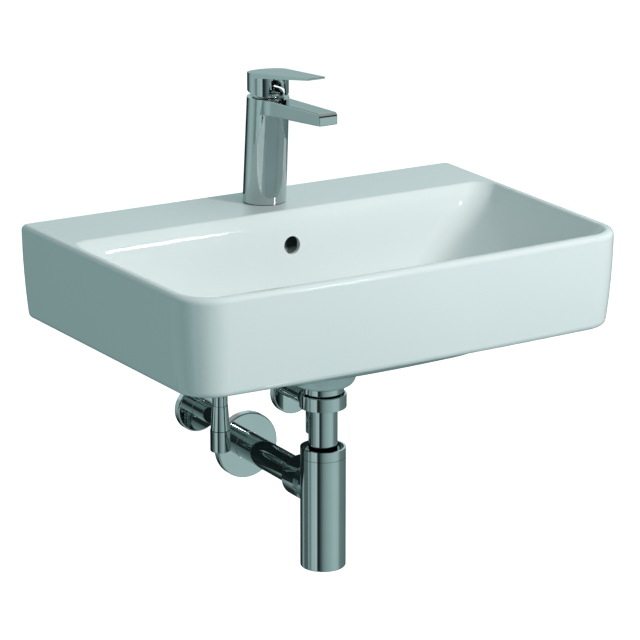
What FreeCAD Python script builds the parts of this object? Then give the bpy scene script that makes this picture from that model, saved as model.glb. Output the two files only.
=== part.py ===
import FreeCAD, Part
import math
import os
import Sketcher
from types import SimpleNamespace

# A wall-hung washbasin with its mixer tap, push-open waste, bottle trap and two angle valves.
# Millimetres. X runs along the wall, +Y points into the wall, +Z is up.
# The origin is midway between the two wall-bolt holes, on the wall plane.
# The pieces are drawn with height zero at the rim's top and then set down by rim_above_bolts.

DRIVING_SIZES = {
    # Basin casting
    "rim_above_bolts": 65.0,
    "basin_width": 550.0,
    "basin_depth": 370.0,
    "apron_height": 105.0,
    "side_taper": 10.0,
    "front_bow": 7.0,
    "front_corner_radius": 45.0,
    "back_corner_radius": 9.0,
    "waist_inset": 1.6,
    "foot_inset": 6.5,
    "rim_outer_radius": 6.0,
    "foot_radius": 7.0,
    "apron_wall": 13.0,
    "back_wall": 16.0,
    "back_grinding": 0.6,
    "deck_thickness": 16.0,
    "cavity_draft": 4.0,
    "bolt_spacing": 280.0,
    "bolt_hole_radius": 7.0,
    "cut_overrun": 5.0,
    # Bowl lip, then the steps from each level of the bowl to the next one down
    "bowl_wall": 9.0,
    "bowl_edge_radius": 4.0,
    "bowl_taper": 8.0,
    "bowl_front_bow": 6.0,
    "bowl_corner_extra": 12.0,
    "deck_depth": 97.0,
    "rim_front": 11.0,
    "rim_side": 12.0,
    "lip_corner": 20.0,
    "roll_drop": 12.0,
    "roll_back_step": 8.0,
    "roll_front_step": 5.0,
    "roll_side_step": 10.0,
    "roll_corner": 24.0,
    "upper_drop": 28.0,
    "upper_back_step": 5.0,
    "upper_front_step": 10.0,
    "upper_side_step": 24.0,
    "upper_corner": 32.0,
    "middle_drop": 40.0,
    "middle_back_step": 4.0,
    "middle_front_step": 17.0,
    "middle_side_step": 34.0,
    "middle_corner": 36.0,
    "lower_drop": 32.0,
    "lower_back_step": 10.0,
    "lower_front_step": 25.0,
    "lower_side_step": 35.0,
    "lower_corner": 38.0,
    "floor_drop": 13.0,
    "floor_back_step": 16.0,
    "floor_front_step": 34.0,
    "floor_side_step": 38.0,
    "floor_corner": 32.0,
    # Outlet boss and overflow of the casting
    "drain_from_wall": 174.5,
    "boss_length": 53.0,
    "boss_radius": 36.0,
    "boss_round": 12.0,
    "drain_bore_clearance": 0.6,
    "seat_clearance": 1.5,
    "seat_step": 5.0,
    "dish_spread": 14.0,
    "overflow_radius": 10.0,
    "overflow_depth": 37.0,
    "duct_half_width": 15.0,
    "duct_gap": 11.0,
    "duct_wall": 7.0,
    "duct_knee_rise": 15.0,
    "duct_mouth_drop": 33.0,
    "duct_mouth_bite": 16.0,
    # Tap body
    "tap_from_wall": 50.0,
    "tap_hole_radius": 17.5,
    "base_seal_thickness": 1.0,
    "base_seal_inset": 1.1,
    "tap_base_radius": 24.1,
    "tap_top_radius": 23.2,
    "tap_lean": 9.0,
    "column_height": 119.5,
    "spout_half_width": 11.4,
    "spout_root_half_width": 18.9,
    "spout_neck_half_width": 13.6,
    "spout_flare_length": 10.0,
    "spout_flare_radius": 30.0,
    "spout_nose_radius": 4.0,
    "spout_edge": 1.4,
    "spout_under_edge": 1.2,
    "spout_reach": 135.6,
    "spout_root_height": 17.5,
    "spout_root_bite": 12.0,
    "spout_rise": 4.9,
    "spout_tip_height": 13.4,
    "tail_chamber_wall": 6.0,
    "tail_chamber_shift": 2.0,
    "tail_web": 14.0,
    "tail_socket_depth": 9.0,
    # Cartridge
    "fit_gap": 0.1,
    "running_gap": 0.06,
    "cartridge_bore_radius": 18.0,
    "cartridge_bore_depth": 35.5,
    "cartridge_length": 26.0,
    "cartridge_nut_step": 1.4,
    "cartridge_nut_height": 7.5,
    "cover_flange_thickness": 1.6,
    "cover_wall": 2.44,
    "cover_rise": 1.0,
    "cover_edge_radius": 0.8,
    # Lever and what carries it
    "carrier_radius": 12.5,
    "carrier_drop": 15.5,
    "pivot_drop": 5.5,
    "pivot_pin_radius": 1.6,
    "pivot_pin_inset": 1.5,
    "stem_half_width": 3.2,
    "stem_foot_drop": 6.5,
    "stem_top_gap": 0.9,
    "stem_slot_front": 6.5,
    "stem_slot_back": 8.0,
    "stem_slot_drop": 8.0,
    "hood_inset": 0.5,
    "hood_wall": 2.6,
    "hood_front_gap": 2.1,
    "hood_back_gap": 9.3,
    "hood_back_height": 25.4,
    "hood_top_wall": 3.0,
    "paddle_reach": 102.0,
    "paddle_half_width": 10.5,
    "paddle_rise": 13.3,
    "paddle_tip_thickness": 2.4,
    "paddle_nose_radius": 0.85,
    "paddle_root_drop": 0.2,
    "arch_foot_half": 13.0,
    "arch_top_half": 8.5,
    "arch_radius": 5.0,
    "hub_radius": 6.4,
    "hub_length": 16.5,
    "grub_radius": 2.0,
    "index_plug_radius": 3.0,
    "index_plug_proud": 0.3,
    # Aerator
    "aerator_setback": 13.0,
    "aerator_radius": 8.6,
    "aerator_wall": 1.4,
    "aerator_proud": 1.2,
    "aerator_length": 8.0,
    "aerator_recess": 1.2,
    # Fixing of the tap under the deck
    "stud_radius": 4.0,
    "stud_back": 9.5,
    "stud_spare": 19.0,
    "horseshoe_half_width": 26.0,
    "horseshoe_half_length": 22.0,
    "horseshoe_slot_half": 15.2,
    "horseshoe_slot_end": 2.0,
    "horseshoe_corner": 8.0,
    "fixing_pad_thickness": 2.0,
    "fixing_plate_thickness": 2.5,
    "fixing_nut_flat": 6.5,
    "fixing_nut_height": 6.5,
    # Supply tails
    "tail_radius": 5.0,
    "tail_wall": 1.0,
    "tail_half_spacing": 9.5,
    "tail_ahead": 6.0,
    "tail_bend_radius": 32.0,
    "tail_rise": 55.0,
    "tail_drop": 56.0,
    # Push-open waste
    "upper_seal_thickness": 1.0,
    "waste_flange_radius": 31.5,
    "waste_flange_thickness": 2.6,
    "waste_tail_radius": 20.9,
    "waste_tail_wall": 2.5,
    "waste_slot_half_width": 5.0,
    "waste_slot_drop": 10.0,
    "waste_slot_length": 21.0,
    "spider_half_width": 3.0,
    "spider_drop": 9.0,
    "spider_height": 10.0,
    "spider_hub_radius": 9.5,
    "click_radius": 7.0,
    "click_proud": 3.0,
    "click_hang": 16.0,
    "plug_stem_radius": 4.0,
    "plug_radius": 29.5,
    "plug_rim_thickness": 2.5,
    "plug_crown": 2.0,
    "plug_crown_radius": 17.0,
    "plug_gap": 1.4,
    "plug_neck_radius": 12.0,
    "plug_neck_length": 3.0,
    "plug_seal_radius": 26.0,
    "plug_seal_width": 2.5,
    "lower_seal_width": 2.3,
    "lower_seal_thickness": 1.2,
    "locknut_wall": 1.9,
    "locknut_height": 6.0,
    # Union nut and dip tube
    "union_gap": 2.2,
    "union_wall": 4.9,
    "union_edge_radius": 0.8,
    "union_height": 15.6,
    "union_lip": 2.6,
    "union_mouth_wall": 2.0,
    "union_mouth_depth": 3.5,
    "union_seal_thickness": 2.0,
    "tube_radius": 16.0,
    "tube_wall": 1.0,
    "tube_collar_thickness": 1.6,
    "tube_exposed": 45.8,
    "tube_foot_clearance": 36.0,
    # Bottle trap
    "trap_annulus": 9.1,
    "trap_wall": 2.0,
    "trap_length": 127.4,
    "trap_foot_radius": 2.0,
    "collar_height": 10.8,
    "collar_rim": 2.2,
    "collar_well_depth": 8.0,
    "collar_floor": 3.0,
    "collar_spigot_length": 9.0,
    "collar_spigot_wall": 3.2,
    "seam_gap": 0.4,
    "collar_seal_height": 7.0,
    "thread_wall": 3.0,
    "thread_length": 11.0,
    "base_plug_height": 6.0,
    "base_plug_slot_half_width": 1.5,
    "base_plug_slot_depth": 3.0,
    "base_plug_seal_thickness": 1.5,
    "base_plug_seal_width": 3.0,
    # Outlet to the wall
    "outlet_drop": 36.8,
    "outlet_stub_wall": 4.0,
    "outlet_stub_reach": 19.0,
    "outlet_nut_wall": 3.5,
    "outlet_nut_gap": 0.5,
    "outlet_nut_length": 25.0,
    "outlet_nut_lip": 3.0,
    "outlet_nut_edge": 1.5,
    "outlet_pipe_bite": 14.0,
    "pipe_in_wall": 25.0,
    "pipe_end_step": 0.2,
    "trap_rosette_radius": 38.5,
    "trap_rosette_height": 9.5,
    "rosette_sheet": 1.2,
    "rosette_edge_radius": 1.5,
    "rosette_hole_gap": 0.3,
    "rosette_side_gap": 1.0,
    # Angle valves
    "valve_half_spacing": 62.0,
    "valve_depth": 242.0,
    "valve_foot_clearance": 1.0,
    "valve_foot_radius": 10.9,
    "valve_shoulder_rise": 17.5,
    "valve_shoulder_radius": 9.0,
    "valve_neck_radius": 7.2,
    "valve_neck_length": 11.0,
    "valve_barrel_radius": 9.9,
    "valve_thread_radius": 10.4,
    "valve_in_wall": 15.0,
    "valve_rosette_radius": 27.0,
    "valve_rosette_height": 9.0,
    "tail_in_valve": 8.0,
    "compression_nut_radius": 8.7,
    "compression_nut_gap": 0.4,
    "compression_nut_height": 19.0,
    "compression_nut_lip": 3.0,
    "compression_nut_edge": 0.8,
    "ferrule_height": 3.0,
    "spindle_radius": 3.5,
    "spindle_in_body": 8.0,
    "spindle_in_handle": 14.0,
    "handle_radius": 11.3,
    "handle_gap": 0.6,
    "handle_height": 24.5,
    "handle_edge_radius": 1.2,
}


class Size:
    """A length from the sheet, or a sum of such lengths, with the expression that yields it."""

    def __init__(self, value, text):
        self.value = value
        self.text = text

    def _joined(self, sign, other, value):
        return Size(value, f"({self.text} {sign} {other.text})")

    def __add__(self, other):
        other = as_size(other)
        return self._joined("+", other, self.value + other.value)

    def __sub__(self, other):
        other = as_size(other)
        return self._joined("-", other, self.value - other.value)

    def __mul__(self, other):
        other = as_size(other)
        return self._joined("*", other, self.value * other.value)

    def __truediv__(self, other):
        other = as_size(other)
        return self._joined("/", other, self.value / other.value)

    def __rmul__(self, other):
        return as_size(other) * self

    def __neg__(self):
        return Size(-self.value, f"(0 - {self.text})")

    def root(self):
        return Size(math.sqrt(self.value), f"sqrt({self.text})")


def as_size(number):
    if isinstance(number, Size):
        return number
    return Size(float(number), f"({number})")


def largest(*choices):
    return Size(max(item.value for item in choices), f"max({'; '.join(item.text for item in choices)})")


def smallest(*choices):
    return Size(min(item.value for item in choices), f"min({'; '.join(item.text for item in choices)})")


ZERO = Size(0.0, "0")


def fill_sheet(doc):
    sheet = doc.addObject("Spreadsheet::Sheet", "Sizes")
    for row, (alias, value) in enumerate(DRIVING_SIZES.items(), start=1):
        sheet.set(f"A{row}", alias)
        sheet.set(f"B{row}", str(value))
        sheet.setAlias(f"B{row}", alias)
    doc.recompute()
    return SimpleNamespace(**{
        alias: Size(float(getattr(sheet, alias)), f"Sizes.{alias}") for alias in DRIVING_SIZES
    })


doc = FreeCAD.newDocument("Washbasin")
size = fill_sheet(doc)
pieces = []

# Directions for pieces that are turned about a level axis
ALONG_Y = FreeCAD.Rotation(FreeCAD.Vector(1, 0, 0), -90)
ALONG_X = FreeCAD.Rotation(FreeCAD.Vector(0, 1, 0), 90)

# How closely a place has to agree when an edge is looked up
AGREEMENT = 1e-4


# Document helpers


def keep(piece, label):
    piece.Label = label
    pieces.append(piece)


def stand_at(piece, x=ZERO, y=ZERO, z=ZERO, turn=None):
    """Place a piece in the row frame; z is measured from the rim."""
    if turn is not None:
        piece.Placement = FreeCAD.Placement(FreeCAD.Vector(), turn)
    for axis, distance in (("x", x), ("y", y), ("z", z + size.rim_above_bolts)):
        piece.setExpression(f".Placement.Base.{axis}", distance.text)


def new_body(name):
    return doc.addObject("PartDesign::Body", name)


def new_sketch(body, role, offset=ZERO):
    """A sketch on one of the body's own planes, moved along the plane's normal."""
    plane = next(item for item in body.Origin.OriginFeatures if item.Role == role)
    sketch = body.newObject("Sketcher::SketchObject", f"{body.Name}Sketch")
    sketch.AttachmentSupport = [(plane, "")]
    sketch.MapMode = "FlatFace"
    sketch.setExpression(".AttachmentOffset.Base.z", offset.text)
    return sketch


def constrain(sketch, kind, *arguments):
    """Add a dimension whose last argument is a Size."""
    *places, length = arguments
    index = sketch.addConstraint(Sketcher.Constraint(kind, *places, length.value))
    sketch.setExpression(f"Constraints[{index}]", length.text)


def pin_point(sketch, geometry, position, x, y):
    constrain(sketch, "DistanceX", geometry, position, x)
    constrain(sketch, "DistanceY", geometry, position, y)


def draw_circle(sketch, radius, x=ZERO, y=ZERO):
    centre = FreeCAD.Vector(x.value, y.value, 0)
    circle = sketch.addGeometry(Part.Circle(centre, FreeCAD.Vector(0, 0, 1), radius.value), False)
    pin_point(sketch, circle, 3, x, y)
    constrain(sketch, "Radius", circle, radius)


def corner_arc(before, corner, after, radius):
    """Where the arc that rounds a corner starts and ends, its centre and whether it turns left."""
    back = (before - corner).normalize()
    ahead = (after - corner).normalize()
    half_angle = back.getAngle(ahead) / 2
    reach = radius / math.tan(half_angle)
    centre = corner + (back + ahead).normalize() * (radius / math.sin(half_angle))
    return corner + back * reach, corner + ahead * reach, centre, ahead.cross(back).z > 0


def draw_outline(sketch, corners, closed=True):
    """Straight sides between corners; a corner (x, y, radius) is rounded and (x, y) is sharp."""
    spots = [FreeCAD.Vector(corner[0].value, corner[1].value, 0) for corner in corners]
    count = len(corners)
    arrive, leave, arcs = list(spots), list(spots), {}
    for index, corner in enumerate(corners):
        if len(corner) == 3:
            arrive[index], leave[index], *arcs[index] = corner_arc(
                spots[index - 1], spots[index], spots[(index + 1) % count], corner[2].value)
    sides = [
        sketch.addGeometry(Part.LineSegment(leave[index], arrive[(index + 1) % count]), False)
        for index in range(count if closed else count - 1)
    ]
    if not closed:
        pin_point(sketch, sides[0], 1, *corners[0])
        pin_point(sketch, sides[-1], 2, *corners[-1])
    for index, corner in enumerate(corners):
        if not closed and index in (0, count - 1):
            continue
        side_in, side_out = sides[index - 1], sides[index]
        if index in arcs:
            ends = (arrive[index], leave[index])
            round_corner(sketch, side_in, side_out, spots[index], ends, *arcs[index], corner)
        else:
            sketch.addConstraint(Sketcher.Constraint("Coincident", side_in, 2, side_out, 1))
            pin_point(sketch, side_out, 1, *corner)


def round_corner(sketch, side_in, side_out, spot, ends, centre, turns_left, corner):
    """An arc between two sides, held tangent to both; the sides point at the corner's own place."""
    x, y, radius = corner
    in_order = ends if turns_left else ends[::-1]
    angles = [math.atan2(place.y - centre.y, place.x - centre.x) for place in in_order]
    circle = Part.Circle(centre, FreeCAD.Vector(0, 0, 1), radius.value)
    arc = sketch.addGeometry(Part.ArcOfCircle(circle, *angles), False)
    point = sketch.addGeometry(Part.Point(spot), True)
    enters, exits = (1, 2) if turns_left else (2, 1)
    sketch.addConstraint([
        Sketcher.Constraint("Tangent", side_in, 2, arc, enters),
        Sketcher.Constraint("Tangent", arc, exits, side_out, 1),
        Sketcher.Constraint("PointOnObject", point, 1, side_in),
        Sketcher.Constraint("PointOnObject", point, 1, side_out),
    ])
    pin_point(sketch, point, 1, x, y)
    constrain(sketch, "Radius", arc, radius)


def add_feature(body, kind, profile, **bound):
    feature = body.newObject(f"PartDesign::{kind}", f"{body.Name}{kind}")
    feature.Profile = profile
    for name, length in bound.items():
        feature.setExpression(name, length.text)
    return feature


def add_loft(body, kind, sections, ruled=False):
    """A loft through sections that are given against the direction of their planes' normals."""
    feature = add_feature(body, kind, sections[0])
    feature.Sections = [(section, [""]) for section in sections[1:]]
    feature.Ruled = ruled
    return feature


def turn_profile(body, kind, sketch):
    """Turn a profile a full circle about its own upright axis."""
    feature = add_feature(body, kind, sketch)
    feature.ReferenceAxis = (sketch, ["V_Axis"])
    return feature


def cut_hole(body, sketch, depth, along_normal=False):
    """A pocket against the normal of the sketch's plane, or along it."""
    pocket = add_feature(body, "Pocket", sketch, Length=depth)
    pocket.Reversed = along_normal
    return pocket


def round_edges(body, feature, radius, chosen):
    """Round the edges of the body so far for which chosen(edge) holds."""
    doc.recompute()
    names = [f"Edge{index}" for index, edge in enumerate(feature.Shape.Edges, start=1) if chosen(edge)]
    fillet = body.newObject("PartDesign::Fillet", f"{body.Name}Fillet")
    fillet.Base = (feature, names)
    fillet.setExpression("Radius", radius.text)
    return fillet


def lies_level(edge, height):
    box = edge.BoundBox
    return max(abs(box.ZMin - height.value), abs(box.ZMax - height.value)) < AGREEMENT


def stands_at(edge, y):
    box = edge.BoundBox
    return max(abs(box.YMin - y.value), abs(box.YMax - y.value)) < AGREEMENT


def turned(label, profile, x=ZERO, y=ZERO, z=ZERO, turn=None):
    """A piece turned from a profile of (radius, height) corners."""
    body = new_body("Turned")
    sketch = new_sketch(body, "XZ_Plane")
    draw_outline(sketch, profile)
    turn_profile(body, "Revolution", sketch)
    stand_at(body, x, y, z, turn)
    keep(body, label)


def rod(radius, low, high):
    return [(ZERO, low), (radius, low), (radius, high), (ZERO, high)]


def ring(label, inner, outer, low, high, **place):
    turned(label, [(inner, low), (outer, low), (outer, high), (inner, high)], **place)


def combine(kind, name, base, tool):
    result = doc.addObject(kind, name)
    result.Base = base
    result.Tool = tool
    return result


def faceted_nut(label, facets, flat, profile, y):
    """A turned nut whose outside is cut to flats."""
    body = new_body("Nut")
    sketch = new_sketch(body, "XZ_Plane")
    draw_outline(sketch, profile)
    turn_profile(body, "Revolution", sketch)
    heights = [corner[1] for corner in profile]
    low = smallest(*heights)
    prism = doc.addObject("Part::Prism", "Flats")
    prism.Polygon = facets
    prism.setExpression("Circumradius", f"{flat.text} / cos({180 / facets})")
    prism.setExpression("Height", (largest(*heights) - low).text)
    prism.setExpression("Placement.Base.z", low.text)
    nut = combine("Part::Common", "FacetedNut", body, prism)
    stand_at(nut, y=y)
    keep(nut, label)


def write_pieces():
    doc.recompute()
    for item in doc.Objects:
        if "Invalid" in item.State or "Error" in item.State:
            raise RuntimeError(f"{item.Name} ({item.Label}) could not be built: {item.State}")
    for piece in pieces:
        shape = piece.Shape
        if shape.isNull() or not shape.isValid() or len(shape.Solids) != 1:
            raise RuntimeError(f"{piece.Label} is not one valid solid")
    os.makedirs("parts", exist_ok=True)
    for piece in pieces:
        piece.Shape.exportStep(f"parts/{piece.Label}.step")
        print(piece.Label, round(piece.Shape.Volume))


# Basin casting

# How much of a bowed front is the arc itself
APRON_ARC_SHARE = 0.7
BOWL_ARC_SHARE = 0.45

BOWL_LEVELS = ("roll", "upper", "middle", "lower", "floor")
SHELL_DROP_SHARES = (0.0, 0.5, 0.8, 1.0, 1.2)


def bowed_outline(back, front, half, taper, bow, arc_share, back_radius, corner_radius):
    """Outline seen from above: straight back, tapering sides and a bowed front."""
    front_half = half - taper
    reach = bow / (1 - arc_share / 2)
    bow_radius = arc_share * front_half * front_half / reach
    corner_y = bow - front
    return [
        (-half, -back, back_radius),
        (-front_half, corner_y, corner_radius),
        (ZERO, corner_y - reach, bow_radius),
        (front_half, corner_y, corner_radius),
        (half, -back, back_radius),
    ]


def apron_section(body, height, inset):
    sketch = new_sketch(body, "XY_Plane", height)
    draw_outline(sketch, bowed_outline(
        -size.back_grinding, size.basin_depth - inset, size.basin_width / 2 - inset, size.side_taper,
        size.front_bow, APRON_ARC_SHARE, size.back_corner_radius, size.front_corner_radius - inset))
    return sketch


def cavity_section(body, height, inset):
    sketch = new_sketch(body, "XY_Plane", height)
    draw_outline(sketch, bowed_outline(
        size.back_wall, size.basin_depth - inset, size.basin_width / 2 - inset, size.side_taper,
        size.front_bow, APRON_ARC_SHARE, size.apron_wall, size.front_corner_radius - inset / 2))
    return sketch


def down_to(level, step):
    """Sum of one kind of step from the lip down to a level of the bowl."""
    steps = [getattr(size, f"{name}_{step}") for name in BOWL_LEVELS[:BOWL_LEVELS.index(level) + 1]]
    return sum(steps[1:], steps[0])


def bowl_section(body, level, grow=ZERO, drop=ZERO):
    """Level outline of the bowl, or of the shell round it when it is grown."""
    corner = getattr(size, f"{level}_corner")
    sketch = new_sketch(body, "XY_Plane", -down_to(level, "drop") - drop)
    draw_outline(sketch, bowed_outline(
        size.deck_depth + down_to(level, "back_step") - grow,
        size.basin_depth - size.rim_front - down_to(level, "front_step") + grow,
        size.basin_width / 2 - size.rim_side - down_to(level, "side_step") + grow,
        size.bowl_taper, size.bowl_front_bow, BOWL_ARC_SHARE,
        corner + grow, corner + size.bowl_corner_extra + grow))
    return sketch


def lip_section(body):
    sketch = new_sketch(body, "XY_Plane")
    draw_outline(sketch, bowed_outline(
        size.deck_depth, size.basin_depth - size.rim_front, size.basin_width / 2 - size.rim_side,
        size.bowl_taper, size.bowl_front_bow, BOWL_ARC_SHARE,
        size.lip_corner, size.lip_corner + size.bowl_corner_extra))
    return sketch


def floor_height():
    return -down_to("floor", "drop")


def boss_foot():
    return floor_height() - size.boss_length


def drain_bore_radius():
    return size.waste_tail_radius + size.drain_bore_clearance


def bowl_back():
    """Distance off the wall of the outer skin of the bowl's back, where the overflow is."""
    return size.deck_depth + down_to("upper", "back_step") - size.bowl_wall


def duct_section(body, depth, near, far, half):
    """A level rectangle of the overflow duct, from the near to the far distance off the wall."""
    sketch = new_sketch(body, "XY_Plane", -depth)
    draw_outline(sketch, [(-half, -near), (-half, -far), (half, -far), (half, -near)])
    return sketch


def overflow_path():
    """Depth and distance off the wall of the duct's bowl-side face, from top to mouth."""
    mouth = size.drain_from_wall - drain_bore_radius() + size.duct_mouth_bite
    knee = bowl_back() + size.middle_back_step + size.lower_back_step
    return [
        (size.overflow_depth - size.overflow_radius - size.duct_wall, bowl_back()),
        (down_to("lower", "drop") - size.duct_knee_rise, knee),
        (size.duct_mouth_drop - floor_height(), mouth),
    ]


def make_basin():
    body = new_body("Basin")
    apron = add_loft(body, "AdditiveLoft", [
        apron_section(body, height, inset) for height, inset in (
            (ZERO, ZERO),
            (-size.apron_height / 2, size.waist_inset),
            (-size.apron_height, size.foot_inset),
        )])
    rim = round_edges(body, apron, size.rim_outer_radius, lambda edge: lies_level(edge, ZERO))
    round_edges(body, rim, size.foot_radius, lambda edge: lies_level(edge, -size.apron_height))
    cavity_inset = size.apron_wall + size.foot_inset
    add_loft(body, "SubtractiveLoft", [
        cavity_section(body, -size.deck_thickness, cavity_inset + size.cavity_draft),
        cavity_section(body, -size.apron_height - size.cut_overrun, cavity_inset),
    ], ruled=True)
    add_loft(body, "AdditiveLoft", [
        bowl_section(body, level, size.bowl_wall, size.bowl_wall * share)
        for level, share in zip(BOWL_LEVELS, SHELL_DROP_SHARES)])
    add_overflow_hump(body)
    add_outlet_boss(body)
    bowl = add_loft(body, "SubtractiveLoft", [
        lip_section(body)] + [bowl_section(body, level) for level in BOWL_LEVELS])
    round_edges(body, bowl, size.bowl_edge_radius, is_bowl_lip)
    cut_overflow(body)
    cut_drain(body)
    grind_back(body)
    cut_holes(body)
    stand_at(body)
    keep(body, "basin")


def is_bowl_lip(edge):
    """The bowl's edge is the level one at the rim's height, inside the rim's outer rounding."""
    half = (size.basin_width / 2 - size.rim_outer_radius).value
    front = (size.rim_outer_radius - size.basin_depth).value
    box = edge.BoundBox
    inside = -half < box.XMin and box.XMax < half and box.YMin > front
    return lies_level(edge, ZERO) and inside and box.YMax < -size.deck_depth.value / 2


def add_overflow_hump(body):
    """Outer skin of the overflow duct, on the back of the bowl."""
    half = size.duct_half_width + size.duct_wall
    thick = size.duct_gap + size.duct_wall
    add_loft(body, "AdditiveLoft", [
        duct_section(body, depth - size.duct_wall, skin - thick, skin + size.bowl_wall / 2, half)
        for depth, skin in overflow_path()], ruled=True)


def add_outlet_boss(body):
    sketch = new_sketch(body, "XZ_Plane", size.drain_from_wall)
    draw_outline(sketch, [
        (ZERO, floor_height()),
        (ZERO, boss_foot()),
        (size.boss_radius, boss_foot(), size.boss_round),
        (size.boss_radius, floor_height()),
    ])
    turn_profile(body, "Revolution", sketch)


def cut_overflow(body):
    add_loft(body, "SubtractiveLoft", [
        duct_section(body, depth, skin - size.duct_gap, skin, size.duct_half_width)
        for depth, skin in overflow_path()], ruled=True)
    sketch = new_sketch(body, "XZ_Plane", bowl_back())
    draw_circle(sketch, size.overflow_radius, ZERO, -size.overflow_depth)
    cut_hole(body, sketch, size.bowl_wall * 2, along_normal=True)


def cut_drain(body):
    """Dish, flange seat and bore under the bowl's floor."""
    seat = floor_height() - size.seat_step
    sketch = new_sketch(body, "XZ_Plane", size.drain_from_wall)
    foot = boss_foot() - size.cut_overrun
    bore = drain_bore_radius()
    rim = size.waste_flange_radius + size.seat_clearance
    above = floor_height() + size.cut_overrun
    draw_outline(sketch, [
        (ZERO, above), (ZERO, foot), (bore, foot), (bore, seat),
        (rim, seat), (rim, seat + size.seat_step / 2),
        (rim + size.dish_spread, floor_height()), (rim + size.dish_spread, above),
    ])
    turn_profile(body, "Groove", sketch)


def grind_back(body):
    """The back is ground flat on the wall plane."""
    half = size.basin_width / 2 + size.cut_overrun
    foot = -size.apron_height - size.cut_overrun
    sketch = new_sketch(body, "XZ_Plane")
    draw_outline(sketch, [(-half, size.cut_overrun), (-half, foot), (half, foot), (half, size.cut_overrun)])
    cut_hole(body, sketch, size.back_grinding + size.cut_overrun)


def cut_holes(body):
    deck = new_sketch(body, "XY_Plane", size.cut_overrun)
    draw_circle(deck, size.tap_hole_radius, ZERO, -size.tap_from_wall)
    cut_hole(body, deck, size.deck_thickness + size.cut_overrun * 2)
    wall = new_sketch(body, "XZ_Plane", -size.cut_overrun)
    for side in (-1, 1):
        draw_circle(wall, size.bolt_hole_radius, side * size.bolt_spacing / 2, -size.rim_above_bolts)
    cut_hole(body, wall, size.back_wall + size.cut_overrun * 2, along_normal=True)


# Tap body and its fixing


def make_spout():
    """The spout before it joins the column: flared at the root, narrower at the rounded tip."""
    body = new_body("Spout")
    root = lever_from_wall() + size.spout_root_bite
    tip = size.tap_from_wall + size.spout_reach
    high = size.column_height + size.spout_rise
    low = high - size.spout_tip_height
    root_low = size.column_height - size.spout_root_height
    top_slope = size.spout_rise / (tip - root)
    under_slope = (low - root_low) / (tip - root)
    over = size.cut_overrun
    spout_plan(body, root, tip, root_low - over, high + over)
    half = size.spout_root_half_width + over
    side = new_sketch(body, "YZ_Plane", -half)
    roof, cellar = high + over * 2, root_low - over * 2
    draw_outline(side, [
        (over - root, size.column_height - top_slope * over), (-tip - over, high + top_slope * over),
        (-tip - over, roof), (over - root, roof),
    ])
    draw_outline(side, [
        (-tip - over, low + under_slope * over), (over - root, root_low - under_slope * over),
        (over - root, cellar), (-tip - over, cellar),
    ])
    slanted = cut_hole(body, side, half * 2, along_normal=True)
    nosed = round_edges(body, slanted, size.spout_nose_radius, lambda edge: (
        stands_at(edge, -tip) and lies_level(edge, high)))
    edged = round_edges(body, nosed, size.spout_edge, lambda edge: (
        stands_at(edge, -tip) and edge.BoundBox.ZLength > edge.BoundBox.XLength))
    round_edges(body, edged, size.spout_under_edge, lambda edge: (
        stands_at(edge, -tip) and lies_level(edge, low)))
    return body


def spout_plan(body, root, tip, foot, top):
    """The spout seen from above, as tall as its slant needs."""
    sketch = new_sketch(body, "XY_Plane", foot)
    neck = root + size.spout_flare_length
    half, neck_half, root_half = size.spout_half_width, size.spout_neck_half_width, size.spout_root_half_width
    flare = size.spout_flare_radius
    draw_outline(sketch, [
        (-root_half, -root), (-neck_half, -neck, flare), (-half, -tip),
        (half, -tip), (neck_half, -neck, flare), (root_half, -root),
    ])
    add_feature(body, "Pad", sketch, Length=top - foot)


def column_section(body, height, from_wall, radius):
    sketch = new_sketch(body, "XY_Plane", height)
    draw_circle(sketch, radius, ZERO, -from_wall)
    return sketch


def lever_from_wall():
    return size.tap_from_wall + size.tap_lean


def make_tap_body():
    body = new_body("TapBody")
    add_loft(body, "AdditiveLoft", [
        column_section(body, size.column_height, lever_from_wall(), size.tap_top_radius),
        column_section(body, size.base_seal_thickness, size.tap_from_wall, size.tap_base_radius),
    ], ruled=True)
    body.newObject("PartDesign::Boolean", "Joined").setObjects([make_spout()])
    bore_tap(body)
    stand_at(body)
    keep(body, "tap_body")


def bore_tap(body):
    """Cartridge bore from above, tail chamber and sockets from below, aerator socket."""
    top = new_sketch(body, "XY_Plane", size.column_height + size.cut_overrun)
    draw_circle(top, size.cartridge_bore_radius, ZERO, -lever_from_wall())
    cut_hole(body, top, size.cartridge_bore_depth + size.cut_overrun)
    thread = new_sketch(body, "XY_Plane", size.column_height + size.cut_overrun)
    draw_circle(thread, size.cartridge_bore_radius + size.cartridge_nut_step, ZERO, -lever_from_wall())
    cut_hole(body, thread, seat_to_top() + size.cut_overrun)
    chamber = new_sketch(body, "XY_Plane", ZERO)
    draw_circle(chamber, size.tap_base_radius - size.tail_chamber_wall, ZERO,
                -size.tap_from_wall - size.tail_chamber_shift)
    cut_hole(body, chamber, tail_chamber_top(), along_normal=True)
    sockets = new_sketch(body, "XY_Plane", tail_chamber_top())
    tail_hole = size.tail_radius + size.fit_gap
    for side in (-1, 1):
        draw_circle(sockets, tail_hole, side * size.tail_half_spacing, -tails_from_wall())
    draw_circle(sockets, size.stud_radius + size.fit_gap, ZERO, size.stud_back - size.tap_from_wall)
    cut_hole(body, sockets, size.tail_socket_depth, along_normal=True)
    nozzle = new_sketch(body, "XY_Plane", aerator_low())
    draw_circle(nozzle, size.aerator_radius + size.fit_gap, ZERO, -aerator_from_wall())
    cut_hole(body, nozzle, size.aerator_length + size.fit_gap, along_normal=True)


def cartridge_seat():
    return size.column_height - size.cartridge_bore_depth


def tail_chamber_top():
    return cartridge_seat() - size.tail_web


def tail_top():
    return tail_chamber_top() + size.tail_socket_depth


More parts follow.
